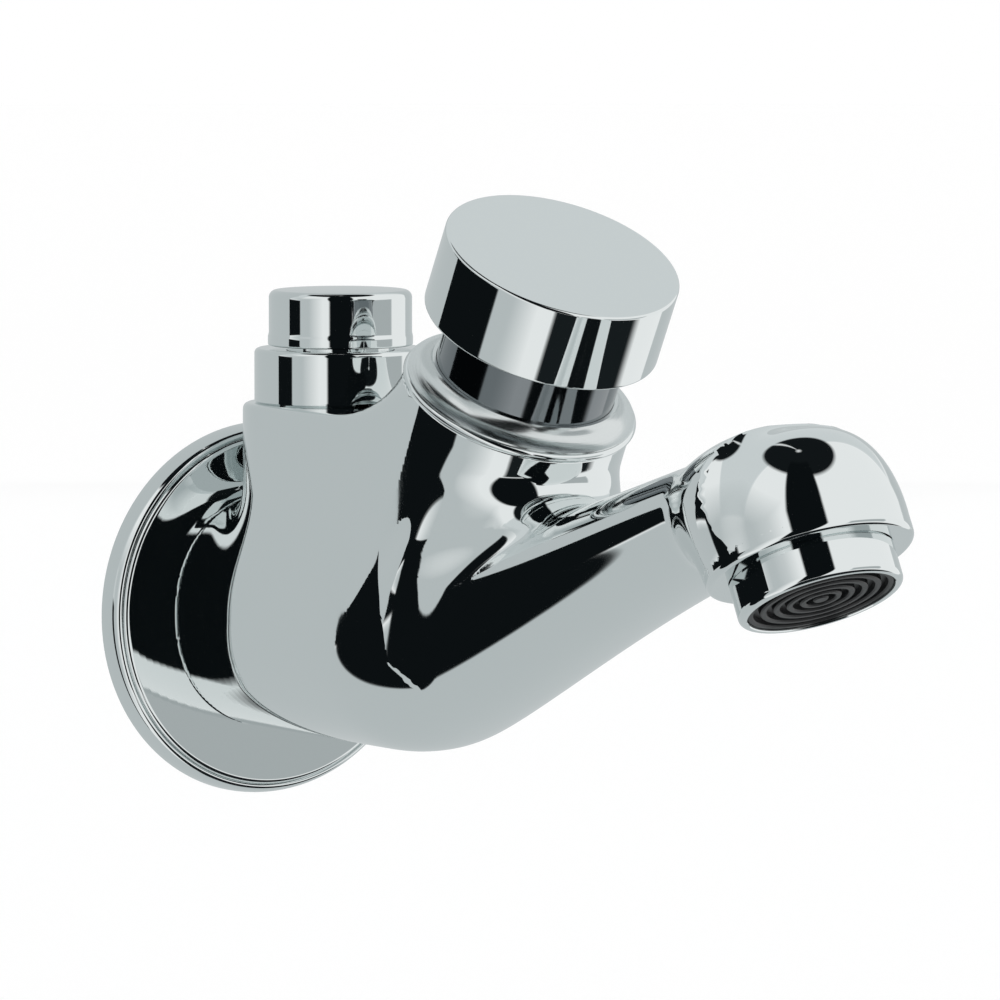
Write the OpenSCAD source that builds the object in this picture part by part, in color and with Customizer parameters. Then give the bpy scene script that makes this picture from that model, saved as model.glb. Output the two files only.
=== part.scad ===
// Wall-mounted push tap that closes by itself after a set time, with a control cock at the rear.
// Origin at the centre of the flange's back face: the wall is the plane y = 0 and the spout points to -y.

/* [Wall side] */
// Outer diameter of the wall flange
flange_d = 60; // [54:1:72]
// Depth of the wall flange from the wall to its front face
flange_depth = 4.6; // [3.6:0.1:8]
// Sheet thickness of the wall flange
flange_wall = 1.2; // [0.8:0.1:2]
// Outside diameter of the half inch inlet thread
thread_d = 20.955; // [18:0.005:24]
// Length of the inlet thread beyond the wall plane
thread_len = 15; // [10:1:30]
// Diameter of the inlet waterway
inlet_d = 13; // [9:0.5:14]

/* [Casting] */
// Diameter of the horizontal barrel behind the column
barrel_d = 37.7; // [36.5:0.1:42]
// Distance from the wall to the bend where the barrel turns into the spout
barrel_len = 48; // [44:0.5:53]
// Distance from the wall to the axis of the control column
column_y = 23.8; // [22:0.2:28]
// Width of the control column
column_w = 31; // [29:0.2:36]
// Height of the column's deck above the inlet axis
deck_z = 34.6; // [32:0.2:40]
// Distance from the wall to the centre of the housing's rim
rim_y = 75; // [72:0.5:80]
// Height of the centre of the housing's rim above the inlet axis
rim_z = 39.05; // [37:0.05:43]
// Forward lean of the cartridge housing in degrees
housing_tilt = 28.1; // [24:0.1:32]
// Diameter of the cartridge housing at its rim
housing_d = 37; // [36:0.1:40]
// Reach of the hollow between the deck and the back of the housing
saddle_reach = 7; // [3:0.5:9]

/* [Spout] */
// Distance from the wall to the centre of the outlet's rim
outlet_y = 151.1; // [140:0.5:170]
// Height of the outlet's rim centre above the inlet axis
outlet_z = 18.4; // [14:0.2:24]
// Tilt of the outlet away from straight down in degrees
outlet_tilt = 26.95; // [15:0.05:32]
// Diameter of the outlet boss at its rim
outlet_d = 31.6; // [30:0.2:36]
// Height of the outlet boss from its rim to the top of its dome
outlet_h = 19.1; // [18.5:0.1:24]
// Width of the spout before it widens into the outlet boss
spout_w = 23.7; // [20:0.1:28]
// Height of the spout where it meets the outlet boss
spout_h = 17; // [15:0.1:21]
// Distance that the spout's widened end stays inside the side of the outlet boss
neck_inset = 1.35; // [0.8:0.05:3]
// Sinking of the spout's top into the outlet boss
crown_dip = 1.3; // [1:0.1:3]
// Rise of the spout at the outlet boss in degrees
spout_rise = 15; // [8:0.5:24]
// Diameter of the waterway through the spout
waterway_d = 9; // [6:0.5:10]

/* [Push button] */
// Diameter of the push button
button_d = 37; // [35:0.2:40]
// Height of the push button
button_h = 12.8; // [10:0.2:18]
// Edge rounding of the push button
button_round = 0.4; // [0.3:0.1:2]
// Travel of the push button
press_travel = 8; // [5:0.5:9]
// Gap left between the button and the collar when the button is pressed home
press_reserve = 0.9; // [0.5:0.1:2]
// Wall of the chromed sleeve
sleeve_wall = 1.6; // [1:0.1:2.4]
// Length of the sleeve inside the collar at rest
sleeve_lap = 5.4; // [4.6:0.1:7]

/* [Metering cartridge] */
// Height of the collar above the housing's rim
collar_h = 2.8; // [2:0.1:4]
// Wall of the housing round the collar's screwed skirt
housing_wall = 2.65; // [2.3:0.05:2.8]
// Wall of the collar's skirt round the button's sleeve
collar_wall = 1.64; // [1.4:0.02:2]
// Width of the barrel's flange beyond the barrel's side
flange_lap = 2.85; // [2.4:0.05:3.2]
// Wall of the cartridge barrel
cartridge_wall = 3; // [2.5:0.1:3.6]
// Thickness of the barrel's flange
cartridge_flange_h = 2.8; // [2:0.1:4]
// Thickness of the gasket under the barrel's flange
cartridge_gasket_h = 1; // [0.6:0.1:1.5]
// Thickness of the barrel head
head_h = 3.4; // [3:0.1:5]
// Diameter of the plunger rod
rod_d = 6; // [5:0.2:7]
// Height of the timing piston
piston_h = 5; // [4.4:0.2:7]
// Diameter of the timing hole through the piston
timing_hole_d = 0.8; // [0.5:0.1:1.5]
// Diameter of the outlet ports in the barrel
port_d = 2.8; // [2:0.1:3.4]
// Number of outlet ports in the barrel
port_count = 8; // [4:1:10]
// Height of the valve seat
seat_h = 5; // [4:0.2:7]
// Hole through the valve seat
seat_hole_d = 12; // [10:0.2:13]
// Thickness of the valve washer
washer_h = 2.5; // [1.5:0.1:3.5]
// Thickness of the brass disc behind the valve washer
disc_h = 2.4; // [1.6:0.1:3.4]
// Thickness of the nut under the valve disc
nut_h = 2.5; // [2:0.1:4]
// Mean diameter of the return spring
spring_d = 15.4; // [14.8:0.1:18]
// Wire of the return spring
spring_wire = 1.5; // [1:0.1:1.8]
// Turns of the return spring
spring_turns = 8; // [5:1:10]

/* [Control cock] */
// Diameter of the turning cap
cap_d = 23; // [21.6:0.1:25]
// Height of the turning cap
cap_h = 8.9; // [8:0.1:14]
// Edge rounding of the turning cap
cap_round = 1.2; // [0.6:0.1:2.4]
// Diameter of the chrome ring under the cap
ring_d = 27.3; // [27:0.1:29]
// Height of the chrome ring
ring_h = 8.6; // [8:0.1:11]
// Diameter of the bonnet's thread
bonnet_d = 20; // [19.4:0.1:20.4]
// Diameter of the control spindle
spindle_d = 8; // [7:0.1:8.6]
// Lift of the jumper from shut to open
jumper_lift = 4; // [2:0.2:5]
// Diameter of the jumper's washer
jumper_d = 15; // [14:0.2:16]
// Thickness of the jumper's washer
jumper_washer_h = 2.5; // [1.5:0.1:3.5]
// Hole through the control seat
control_hole_d = 10; // [8:0.2:11]

/* [Aerator] */
// Diameter of the aerator ring
aerator_d = 25; // [24:0.1:26]
// Length of the aerator ring below the outlet boss
aerator_drop = 6; // [5.4:0.1:8]
// Length of the aerator's thread inside the outlet boss
aerator_thread_h = 7.5; // [6.5:0.1:8.5]
// Distance across the aerator's wrench flats
aerator_flats = 23.8; // [23.4:0.1:24]
// Diameter of the black insert
insert_d = 22.4; // [21:0.1:22.8]
// Number of concentric rings in the insert
insert_rings = 4; // [2:1:5]

/* [Fits] */
// Radial clearance of pieces that slide or turn in each other
run_fit = 0.06; // [0.02:0.01:0.1]
// Radial clearance of screwed and pushed-in pieces that stay put
seat_fit = 0.03; // [0.01:0.01:0.1]
// Gap between pieces that move past each other
move_gap = 0.4; // [0.3:0.05:0.6]

/* [Hidden] */

$fn = 64;
chrome = [0.80, 0.82, 0.83];
brass = [0.78, 0.65, 0.35];
steel = [0.66, 0.67, 0.69];
black_rubber = [0.10, 0.10, 0.11];
black_plastic = [0.13, 0.13, 0.14];
white_plastic = [0.88, 0.88, 0.86];

// Overrun of a cutting shape past the face that it cuts
over = 1;

// Arc points round a centre, for turned profiles
function arc(c, r, a0, a1, n = 6) =
    [for (i = [0:n]) let (a = a0 + (a1 - a0) * i / n) [c[0] + r * cos(a), c[1] + r * sin(a)]];

// Signed power, for the rounded-square sections of the casting
function spow(v, p) = sign(v) * pow(abs(v), p);

// Point of a cubic curve in the plane of symmetry, and its direction
function curve(p, t) =
    pow(1 - t, 3) * p[0] + 3 * pow(1 - t, 2) * t * p[1] + 3 * (1 - t) * t * t * p[2] + pow(t, 3) * p[3];
function curve_dir(p, t) =
    3 * pow(1 - t, 2) * (p[1] - p[0]) + 6 * (1 - t) * t * (p[2] - p[1]) + 3 * t * t * (p[3] - p[2]);

module turned(points) rotate_extrude() polygon(points);

module tube(r_out, r_in, z0, z1) {
    difference() {
        translate([0, 0, z0]) cylinder(r = r_out, h = z1 - z0);
        translate([0, 0, z0 - over]) cylinder(r = r_in, h = z1 - z0 + 2 * over);
    }
}

module rod(r, z0, z1) translate([0, 0, z0]) cylinder(r = r, h = z1 - z0);

module oring(r_mid, r_wire, z) {
    translate([0, 0, z]) rotate_extrude() translate([r_mid, 0]) circle(r = r_wire);
}

// Straight drilling between two points of the plane of symmetry
module drilling(p, q, r) {
    d = q - p;
    translate([0, p[0], p[1]]) rotate([atan2(-d[0], d[1]), 0, 0]) cylinder(r = r, h = norm(d));
}

// Frames of the three working axes
module on_cartridge() translate([0, -rim_y, rim_z]) rotate([housing_tilt, 0, 0]) children();
module on_control() translate([0, -column_y, 0]) children();
module on_outlet() translate([0, -outlet_y, outlet_z]) rotate([-outlet_tilt, 0, 0]) children();
module to_front() rotate([90, 0, 0]) children();

function cartridge_point(h) = [-rim_y - h * sin(housing_tilt), rim_z + h * cos(housing_tilt)];
function outlet_point(h) = [-outlet_y + h * sin(outlet_tilt), outlet_z + h * cos(outlet_tilt)];

// Heights along the cartridge axis, from the housing's rim
button_base = collar_h + press_travel + press_reserve;
button_top = button_base + button_h;
button_roof = 3;
roof_h = button_top - button_roof;
sleeve_foot = collar_h - sleeve_lap;
head_top = sleeve_foot - press_travel - move_gap;
head_foot = head_top - head_h;
flange_foot = head_top - cartridge_flange_h;
shoulder_h = flange_foot - cartridge_gasket_h;
piston_top = head_foot - move_gap;
piston_foot = piston_top - piston_h;
piston_mid = piston_foot + piston_h / 2;
port_h = piston_foot - press_travel - port_d / 2;
seat_top = port_h - port_d / 2;
seat_foot = seat_top - seat_h;
oring_inset = 2.4;
oring_heights = [port_h + port_d / 2 + oring_inset, seat_top - oring_inset];
valve_gap = 0.1;
washer_top = seat_foot - valve_gap;
disc_top = washer_top - washer_h;
disc_foot = disc_top - disc_h;
nut_foot = disc_foot - nut_h;
rod_tip = 0.5;
rod_foot = nut_foot - rod_tip;
chamber_foot = rod_foot - press_travel - move_gap;

// Radii round the cartridge axis
housing_r = housing_d / 2;
housing_inset = 0.6;
button_r = button_d / 2;
skirt_r = housing_r - housing_wall;
collar_bore_r = skirt_r - collar_wall;
sleeve_r = collar_bore_r - run_fit;
sleeve_inner_r = sleeve_r - sleeve_wall;
wiper_groove_d = 0.9;
wiper_r = collar_bore_r + wiper_groove_d;
wiper_top = -0.3;
wiper_h = 1.8;
cartridge_r = skirt_r - flange_lap;
cartridge_bore_r = cartridge_r - cartridge_wall;
head_ledge = 1.4;
head_r = cartridge_bore_r + head_ledge;
head_lip = 0.8;
bore_gap = 0.15;
housing_bore_r = cartridge_r + bore_gap;
gallery_depth = 1.4;
gallery_r = housing_bore_r + gallery_depth;
rod_r = rod_d / 2;
piston_r = cartridge_bore_r - run_fit;
seal_depth = 1.5;
oring_wire_r = 0.85;
oring_depth = 1.55;
groove_half = 1;
disc_lap = 3.2;
disc_r = seat_hole_d / 2 + disc_lap;
disc_rim = 0.8;
chamber_gap = 1.9;
chamber_r = disc_r + chamber_gap;
boss_r = 5.2;
spring_r = spring_d / 2;
spring_wire_r = spring_wire / 2;

// Heights of the control cock, from the inlet axis
inlet_r = inlet_d / 2;
control_floor = 0.5;
control_seat_z = inlet_r + control_floor;
control_seat_h = 2;
control_seat_top = control_seat_z + control_seat_h;
jumper_r = jumper_d / 2;
jumper_gap = 1.5;
control_chamber_r = jumper_r + jumper_gap;
jumper_washer_z = control_seat_top + jumper_lift + valve_gap;
jumper_disc_z = jumper_washer_z + jumper_washer_h;
jumper_disc_h = 2;
jumper_disc_top = jumper_disc_z + jumper_disc_h;
jumper_stem_r = 6;
jumper_sink = 7.6;
jumper_top = deck_z - jumper_sink;
jumper_web = 1.4;
jumper_floor = jumper_disc_top + jumper_web;
spindle_r = spindle_d / 2;
spindle_thread_r = 3.4;
spindle_foot = jumper_floor + move_gap;
thrust_z = jumper_top + move_gap;
thrust_h = 2;
guide_top = thrust_z + thrust_h + run_fit;
bonnet_r = bonnet_d / 2;
bonnet_rise = 3;
bonnet_foot = jumper_disc_top + bonnet_rise;
gasket_h = 0.6;
bonnet_flange_z = deck_z + gasket_h;
bonnet_flange_h = 3;
ring_r = ring_d / 2;
ring_wall = 1;
ring_inner_r = ring_r - ring_wall;
ring_top = deck_z + ring_h;
neck_r = 8.2;
cap_base = ring_top + move_gap;
cap_top = cap_base + cap_h;
cap_r = cap_d / 2;
neck_rise = 1.6;
neck_top = cap_base + neck_rise;
clip_z = neck_top + move_gap;
clip_h = 0.8;
clip_w = 2;
clip_r = spindle_r + clip_w;
clip_groove = 0.8;
cap_hub_z = clip_z + clip_h + move_gap;
cap_roof = 2.2;
spindle_top = cap_top - cap_roof;
oring_rise = 4.4;
spindle_oring_z = bonnet_flange_z + oring_rise;
screw_r = 2;
screw_head_r = 3.4;
screw_head_h = 1.5;

// Casting
barrel_r = barrel_d / 2;
thread_r = thread_d / 2;
shank_step = 0.9;
shank_r = thread_r + shank_step;
column_r = column_w / 2;
outlet_r = outlet_d / 2;
spout_join_h = 11.7;
bend_in = 21.6;
bend_out = 33.7;
spine_start = [-barrel_len, 0];
spine_end = outlet_point(spout_join_h);
spine = [
    spine_start,
    spine_start + [-bend_in, 0],
    spine_end + bend_out * [cos(spout_rise), -sin(spout_rise)],
    spine_end
];
section_sides = 44;
section_count = 20;
section_power = 0.92;
taper_power = 2.18;
taper_lead = 0.1;
flare_power = 6;
dip_power = 10;

// Aerator heights, from the outlet boss's rim
aerator_r = aerator_d / 2;
aerator_thread_step = 0.4;
aerator_thread_r = aerator_r - aerator_thread_step;
insert_r = insert_d / 2;
insert_top = -1.1;
insert_recess = 0.4;
insert_foot = insert_recess - aerator_drop;
insert_plate = 1.2;
insert_ledge = 0.9;
screen_r = insert_r - insert_ledge;
screen_h = 0.6;
aerator_washer_h = 1.5;
outlet_shoulder = aerator_thread_h + aerator_washer_h;
strainer_rim_h = 2;
strainer_rise = 3;
strainer_wall = 0.8;
strainer_gap = 0.8;
outlet_chamber_h = outlet_shoulder + strainer_rise + strainer_gap;

// Taper of the spout from the barrel's radius to its own half width or half height, with a soft start
function eased(t) = t < taper_lead ? t * t / (2 * taper_lead) : t - taper_lead / 2;
function tapered(t, tip) = tip + (barrel_r - tip) * pow(1 - eased(t) / eased(1), taper_power);

function section(c, d, half_w, half_h) = [
    for (j = [0:section_sides - 1])
        let (
            a = 360 * j / section_sides,
            v = half_h * spow(sin(a), section_power)
        )
        [half_w * spow(cos(a), section_power), c[0] + v * d[1], c[1] - v * d[0]]
];

// Closed skin through a row of rings that have the same number of points
module skin(rings) {
    n = len(rings[0]);
    last = len(rings) - 1;
    polyhedron(
        points = [for (ring = rings) each ring],
        faces = concat(
            [[for (j = [0:n - 1]) j]],
            [
                for (i = [0:last - 1])
                    for (j = [0:n - 1])
                        let (
                            a = i * n,
                            k = (j + 1) % n
                        )
                        each [[a + j, a + n + j, a + n + k], [a + j, a + n + k, a + k]]
            ],
            [[for (j = [n - 1:-1:0]) last * n + j]]
        )
    );
}

// Barrel, belly and spout in one lofted skin along the curved spine
module spout_loft() {
    skin(concat(
        [section([-flange_depth, 0], [-1, 0], barrel_r, barrel_r)],
        [
            for (i = [0:section_count])
                let (
                    t = i / section_count,
                    d = curve_dir(spine, t),
                    flare = outlet_r - neck_inset - spout_w / 2,
                    half_w = tapered(t, spout_w / 2) + flare * pow(t, flare_power),
                    half_h = tapered(t, spout_h / 2) - crown_dip * pow(t, dip_power)
                )
                section(curve(spine, t), d / norm(d), half_w, half_h)
        ]
    ));
}

// Plan of the column, with flat sides that widen towards the housing
module column_plan() {
    web_half = housing_r - housing_inset;
    translate([0, -column_y]) circle(r = column_r);
    polygon([[-column_r, -column_y], [column_r, -column_y], [web_half, -rim_y], [-web_half, -rim_y]]);
}

// Upright column that ends inside the leaning housing
module column() {
    back = -column_y + column_r + over;
    deck_front = cartridge_point((deck_z - rim_z) / cos(housing_tilt));
    foot_front = cartridge_point(-rim_z / cos(housing_tilt));
    side = [
        [back, -over], [back, deck_z + over],
        deck_front + [0, over], deck_front,
        foot_front, foot_front - [0, over]
    ];
    intersection() {
        linear_extrude(deck_z) column_plan();
        translate([-housing_r, 0, 0]) rotate([90, 0, 90]) linear_extrude(housing_d) polygon(side);
    }
}

// Leaning housing with the bead and seam at its rim
module housing() {
    bead_r = 0.6;
    seam_h = 0.4;
    seam_depth = 0.9;
    foot = seat_foot - 4;
    foot_taper = 3;
    taper_top = shoulder_h - 4;
    on_cartridge() turned(concat(
        [[0, foot], [housing_r - foot_taper, foot], [housing_r - housing_inset, taper_top]],
        [[housing_r - housing_inset, -2 * bead_r - seam_h], [housing_r - seam_depth, -2 * bead_r]],
        arc([housing_r - bead_r, -bead_r], bead_r, -90, 90),
        [[0, 0]]
    ));
}

// Hollow between the deck and the back of the housing, swept round the housing
module saddle() {
    steps = 5;
    sweep = 64;
    turns = 16;
    sink = 0.05;
    root = 1.5;
    up = [0, -sin(housing_tilt), cos(housing_tilt)];
    back = [0, cos(housing_tilt), sin(housing_tilt)];
    function strip(a) =
        let (
            out = sin(a) * [1, 0, 0] + cos(a) * back,
            level = [out[0], out[1], 0] / norm([out[0], out[1]]),
            h = (deck_z - rim_z - housing_r * out[2]) / cos(housing_tilt),
            corner = [0, -rim_y, rim_z] + housing_r * out + h * up
        )
        concat(
            [corner - root * out - [0, 0, root]],
            [
                for (i = [0:steps])
                    let (u = i / steps)
                    corner + saddle_reach * (pow(1 - u, 2) * level + u * u * up)
                        - sink * ((1 - u) * [0, 0, 1] + u * out)
            ]
        );
    intersection() {
        skin([for (k = [0:turns]) strip(sweep * (2 * k / turns - 1))]);
        linear_extrude(rim_z + housing_r) column_plan();
    }
}

// Domed boss at the end of the spout
module outlet_boss() {
    edge = 0.6;
    dome_z = 4.1;
    dome = outlet_h - dome_z;
    crown_power = 0.53;
    on_outlet() turned(concat(
        [[0, 0]],
        arc([outlet_r - edge, edge], edge, -90, 0, 4),
        [for (a = [0:10:80]) [outlet_r * pow(cos(a), crown_power), dome_z + dome * sin(a)]],
        [[0, outlet_h]]
    ));
}

module body() {
    feed_rise = 5;
    feed_r = inlet_r - 2;
    port_lap = 2;
    spout_lap = 1.5;
    gallery_h = port_d + 1;
    feed_start = [-column_y, control_seat_top + feed_rise];
    feed_end = cartridge_point(rod_foot);
    gallery = cartridge_point(port_h);
    spout_start = gallery - (housing_bore_r - port_lap) * [cos(housing_tilt), sin(housing_tilt)];
    color(chrome) difference() {
        union() {
            spout_loft();
            column();
            housing();
            saddle();
            outlet_boss();
            to_front() rod(shank_r, 0, flange_depth + over);
            to_front() rod(thread_r, -thread_len, flange_depth + over);
        }
        to_front() rod(inlet_r, -thread_len - over, column_y);
        on_control() rod(control_hole_d / 2, 0, deck_z);
        on_control() rod(control_chamber_r, control_seat_z, deck_z);
        on_control() rod(bonnet_r + seat_fit, bonnet_foot, deck_z + over);
        on_cartridge() {
            rod(skirt_r + seat_fit, shoulder_h, over);
            rod(housing_bore_r, seat_foot - move_gap, over);
            rod(chamber_r, chamber_foot, 0);
            rod(gallery_r, port_h - gallery_h / 2, port_h + gallery_h / 2);
        }
        drilling(feed_start, feed_end, feed_r);
        drilling(spout_start, outlet_point(outlet_shoulder + spout_lap), waterway_d / 2);
        on_outlet() rod(aerator_thread_r + seat_fit, -over, outlet_shoulder);
        on_outlet() rod(screen_r, 0, outlet_chamber_h);
    }
}

// Pressed plate with a rolled rim and a groove round its face
module wall_flange() {
    rim = 1.4;
    rim_lead = 0.8;
    groove = 0.3;
    face_round = 0.9;
    turn_in = 1.4;
    flange_r = flange_d / 2;
    inner_r = flange_r - flange_wall;
    back_y = flange_depth - flange_wall;
    rim_y0 = flange_depth - rim_lead;
    groove_r = flange_r - rim - groove;
    hole_r = shank_r + seat_fit;
    color(chrome) to_front() turned(concat(
        [[hole_r, back_y], [inner_r - turn_in, back_y], [inner_r, back_y - turn_in], [inner_r, 0]],
        [for (a = [0:15:90]) [flange_r - rim * (1 - cos(a)), rim_y0 * sin(a)]],
        [[groove_r, rim_y0 - groove]],
        arc([groove_r - face_round, flange_depth - face_round], face_round, 0, 90, 5),
        [[hole_r, flange_depth]]
    ));
}

module push_button() {
    edge_r = button_r - button_round;
    color(chrome) on_cartridge() difference() {
        turned(concat(
            [[0, button_base], [edge_r, button_base]],
            arc([edge_r, button_base + button_round], button_round, -90, 0, 5),
            arc([edge_r, button_top - button_round], button_round, 0, 90, 5),
            [[0, button_top]]
        ));
        difference() {
            rod(sleeve_r + seat_fit, button_base - over, roof_h);
            rod(boss_r, button_base, roof_h + over);
        }
        rod(rod_r + seat_fit, button_base - over, roof_h);
    }
}

module button_sleeve() color(chrome) on_cartridge() tube(sleeve_r, sleeve_inner_r, sleeve_foot, roof_h);

// Turned ring with a coved crown and a screwed skirt
module cartridge_collar() {
    crown_r = sleeve_r + 0.6;
    foot_r = housing_r - 0.5;
    foot_h = 0.3;
    drop = foot_r - crown_r;
    color(chrome) on_cartridge() difference() {
        turned(concat(
            [[collar_bore_r, head_top], [skirt_r, head_top], [skirt_r, 0], [foot_r, 0], [foot_r, foot_h]],
            [
                for (a = [15:15:90])
                    [crown_r + drop * (1 - sin(a)), foot_h + (collar_h - foot_h) * (1 - cos(a))]
            ],
            [[collar_bore_r, collar_h]]
        ));
        rod(wiper_r, wiper_top - wiper_h, wiper_top);
    }
}

module stem_wiper() {
    lip = 0.5;
    color(black_rubber) on_cartridge() difference() {
        tube(wiper_r - seat_fit, sleeve_r + run_fit / 2, wiper_top - wiper_h, wiper_top);
        tube(sleeve_r + lip, sleeve_r, wiper_top - wiper_h / 2, wiper_top + over);
    }
}

module cartridge_barrel() {
    color(brass) on_cartridge() difference() {
        union() {
            rod(cartridge_r, seat_foot, head_top);
            rod(skirt_r - seat_fit, flange_foot, head_top);
        }
        rod(cartridge_bore_r, seat_foot - over, head_top + over);
        rod(head_r, head_foot, head_top + over);
        for (z = oring_heights)
            tube(cartridge_r + over, cartridge_r - oring_depth, z - groove_half, z + groove_half);
        for (i = [0:port_count - 1])
            rotate([0, 0, 360 * i / port_count]) translate([cartridge_bore_r - over, 0, port_h])
                rotate([0, 90, 0]) cylinder(d = port_d, h = cartridge_r);
    }
}

module barrel_orings() {
    mid = housing_bore_r - oring_wire_r - seat_fit;
    color(black_rubber) on_cartridge() for (z = oring_heights) oring(mid, oring_wire_r - seat_fit, z);
}

module barrel_head() {
    color(brass) on_cartridge() difference() {
        rod(head_r - seat_fit, head_foot, head_top);
        rod(rod_r + run_fit, head_foot - over, head_top + over);
        rod(rod_r + seal_depth, head_foot + head_lip, head_top - head_lip);
    }
}

module rod_seal() {
    color(black_rubber) on_cartridge()
        tube(rod_r + seal_depth - seat_fit, rod_r + run_fit / 2, head_foot + head_lip, head_top - head_lip);
}

module barrel_gasket() {
    color(black_rubber) on_cartridge()
        tube(skirt_r - seat_fit, cartridge_r + seat_fit, shoulder_h, flange_foot);
}

module plunger_rod() color(steel) on_cartridge() rod(rod_r, rod_foot, roof_h);

module piston() {
    timing_r = (rod_r + piston_r - seal_depth) / 2;
    color(brass) on_cartridge() difference() {
        rod(piston_r, piston_foot, piston_top);
        rod(rod_r, piston_foot - over, piston_top + over);
        tube(piston_r + over, piston_r - seal_depth, piston_mid - groove_half, piston_mid + groove_half);
        translate([0, timing_r, 0]) rod(timing_hole_d / 2, piston_foot - over, piston_top + over);
    }
}

module piston_seal() {
    groove_r = piston_r - seal_depth;
    color(black_rubber) on_cartridge()
        tube(piston_r + run_fit / 2, groove_r, piston_mid - groove_half, piston_mid + groove_half);
}

module valve_seat() {
    lip = 0.8;
    bevel = 1;
    hole_r = seat_hole_d / 2;
    outer_r = cartridge_bore_r - seat_fit;
    color(brass) on_cartridge() turned([
        [hole_r, seat_foot], [hole_r + lip, seat_foot], [hole_r + 2 * lip, seat_foot + lip],
        [outer_r, seat_foot + lip], [outer_r, seat_top],
        [hole_r + bevel, seat_top], [hole_r, seat_top - bevel]
    ]);
}

module valve_washer() {
    color(black_rubber) on_cartridge() tube(disc_r - disc_rim, rod_r, disc_top, washer_top);
}

module valve_disc() {
    color(brass) on_cartridge() difference() {
        rod(disc_r, disc_foot, disc_top + washer_h / 2);
        rod(disc_r - disc_rim, disc_top, washer_top + over);
        rod(rod_r, disc_foot - over, disc_top + over);
    }
}

module valve_nut() {
    nut_r = rod_r + 2.6;
    color(brass) on_cartridge() difference() {
        translate([0, 0, nut_foot]) cylinder(r = nut_r, h = nut_h, $fn = 6);
        rod(rod_r, nut_foot - over, disc_foot + over);
    }
}

// Coil with one closed turn at each end
module return_spring() {
    foot = head_top + spring_wire_r;
    rise = roof_h - spring_wire_r - foot;
    steps = 10;
    sides = 6;
    rings = spring_turns * steps;
    closed = 1 / spring_turns;
    end_gap = 0.45;
    end_rise = (spring_wire + end_gap) / rise;
    function climb(t) =
        t < closed ? t / closed * end_rise :
        t > 1 - closed ? 1 - (1 - t) / closed * end_rise :
        end_rise + (t - closed) / (1 - 2 * closed) * (1 - 2 * end_rise);
    function wire(i, out, lift) =
        let (a = 360 * i / steps)
        [(spring_r + out) * cos(a), (spring_r + out) * sin(a), foot + rise * climb(i / rings) + lift];
    turn_steps = [for (i = [0:rings - steps]) norm(wire(i + steps, 0, 0) - wire(i, 0, 0))];
    echo(return_spring_least_gap = min(turn_steps) - spring_wire);
    color(steel) on_cartridge() skin([
        for (i = [0:rings]) [
            for (j = [0:sides - 1])
                let (b = -360 * j / sides)
                wire(i, spring_wire_r * cos(b), spring_wire_r * sin(b))
        ]
    ]);
}

module control_cap() {
    flare = 0.15;
    foot_h = 1.4;
    flare_h = 0.6;
    side_r = cap_r - flare;
    color(chrome) on_control() difference() {
        turned(concat(
            [[0, cap_base], [cap_r, cap_base]],
            [[cap_r, cap_base + foot_h], [side_r, cap_base + foot_h + flare_h]],
            arc([side_r - cap_round, cap_top - cap_round], cap_round, 0, 90),
            [[0, cap_top]]
        ));
        rod(neck_r + move_gap, cap_base - over, cap_hub_z);
        rod(spindle_r, cap_base - over, spindle_top);
    }
}

module bonnet_ring() {
    edge = 0.8;
    roof = 1.6;
    color(chrome) on_control() difference() {
        turned(concat(
            [[0, deck_z], [ring_r, deck_z]],
            arc([ring_r - edge, ring_top - edge], edge, 0, 90, 5),
            [[0, ring_top]]
        ));
        rod(ring_inner_r, deck_z - over, ring_top - roof);
        rod(neck_r + seat_fit, deck_z, ring_top + over);
    }
}

module control_bonnet() {
    color(brass) on_control() difference() {
        union() {
            rod(bonnet_r, bonnet_foot, bonnet_flange_z + over);
            translate([0, 0, bonnet_flange_z])
                cylinder(r = ring_inner_r - seat_fit, h = bonnet_flange_h, $fn = 6);
            rod(neck_r, bonnet_flange_z, neck_top);
        }
        rod(jumper_stem_r + run_fit, bonnet_foot - over, guide_top);
        rod(spindle_r + run_fit, bonnet_foot, neck_top + over);
        rod(spindle_r + oring_depth, spindle_oring_z - groove_half, spindle_oring_z + groove_half);
    }
}

module bonnet_gasket() {
    inset = 1.5;
    outer_r = ring_inner_r - inset;
    color(black_rubber) on_control() tube(outer_r, bonnet_r + seat_fit, deck_z, bonnet_flange_z);
}

module spindle_oring() {
    wire_r = (oring_depth - run_fit / 2) / 2;
    mid = spindle_r + oring_depth - wire_r;
    color(black_rubber) on_control() oring(mid, wire_r - seat_fit / 2, spindle_oring_z);
}

module control_spindle() {
    color(brass) on_control() difference() {
        union() {
            rod(spindle_thread_r, spindle_foot, thrust_z + over);
            rod(jumper_stem_r - run_fit, thrust_z, thrust_z + thrust_h);
            rod(spindle_r, thrust_z, spindle_top);
        }
        tube(spindle_r + over, spindle_r - clip_groove, clip_z, clip_z + clip_h);
    }
}

// Open ring that keeps the spindle from dropping
module spindle_clip() {
    mouth = spindle_r * 1.2;
    color(steel) on_control() difference() {
        tube(clip_r, spindle_r - clip_groove, clip_z, clip_z + clip_h);
        translate([-mouth / 2, 0, clip_z - over]) cube([mouth, clip_r + over, clip_h + 2 * over]);
    }
}

module control_jumper() {
    color(brass) on_control() difference() {
        union() {
            rod(jumper_r, jumper_disc_z, jumper_disc_top);
            rod(jumper_stem_r, jumper_disc_z, jumper_top);
        }
        rod(spindle_thread_r + run_fit, jumper_floor, jumper_top + over);
        rod(screw_r, jumper_disc_z - over, jumper_disc_top);
    }
}

module jumper_washer() {
    color(black_rubber) on_control() tube(jumper_r, screw_r, jumper_washer_z, jumper_disc_z);
}

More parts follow.
